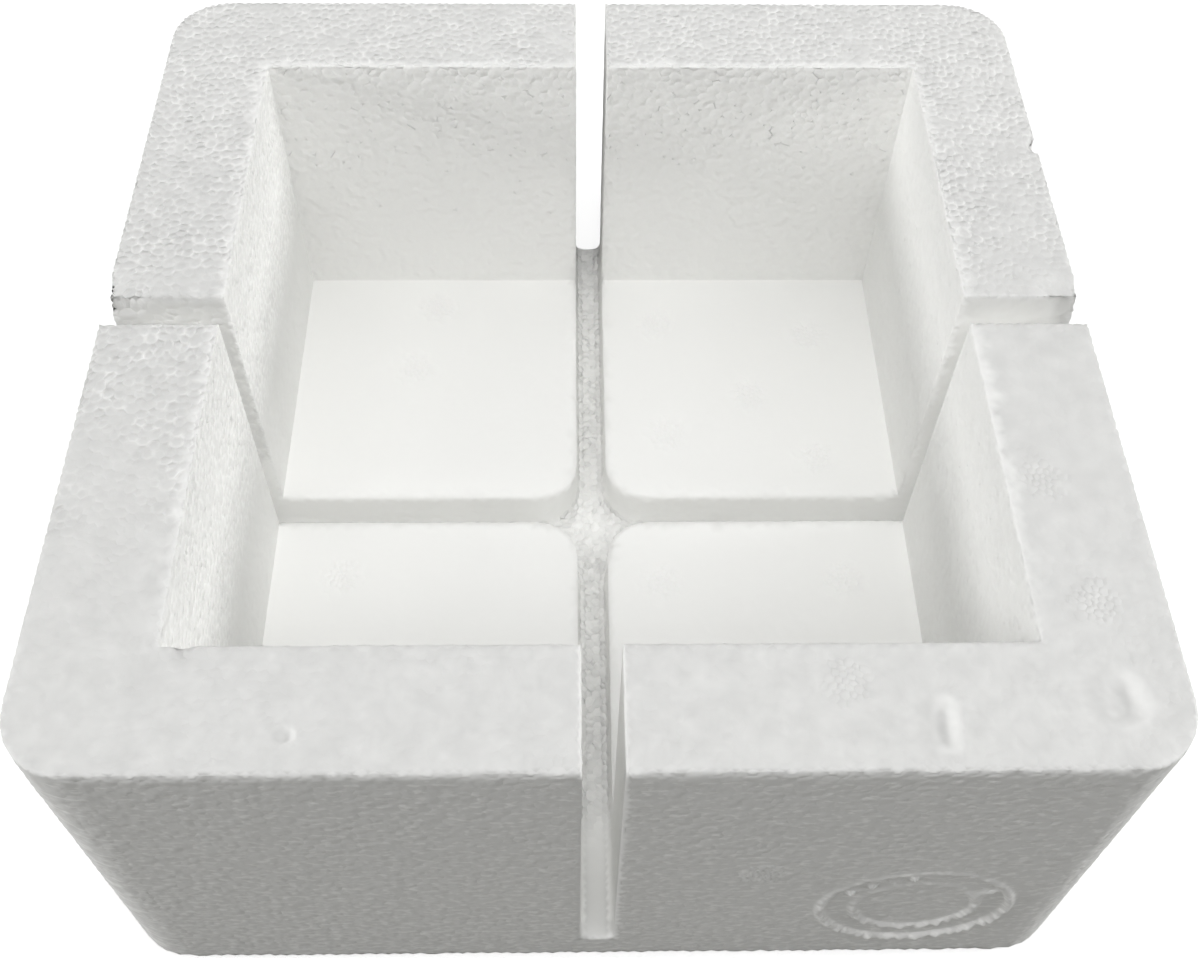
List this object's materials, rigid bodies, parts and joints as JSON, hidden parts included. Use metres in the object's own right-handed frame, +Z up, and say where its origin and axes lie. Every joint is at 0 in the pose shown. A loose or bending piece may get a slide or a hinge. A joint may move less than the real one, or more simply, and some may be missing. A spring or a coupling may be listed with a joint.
{
  "type": "foam corner protector",
  "caption": "Square white foam block of joined corner protectors, with a cross of slots, an open pocket and a double ring mark on one face.",
  "frame": {"origin": "middle of the flat underside", "axes": "+Z up out of the pocket's mouth, +X to the right and +Y away when the face with the fill mark is in front"},
  "size_m": [0.1576, 0.1584, 0.076],
  "materials": {
    "white_foam": "matt expanded polystyrene, with its moulded beads showing"
  },
  "bodies": {
    "root": {"corner_block": "white_foam"}
  },
  "joints": []
}
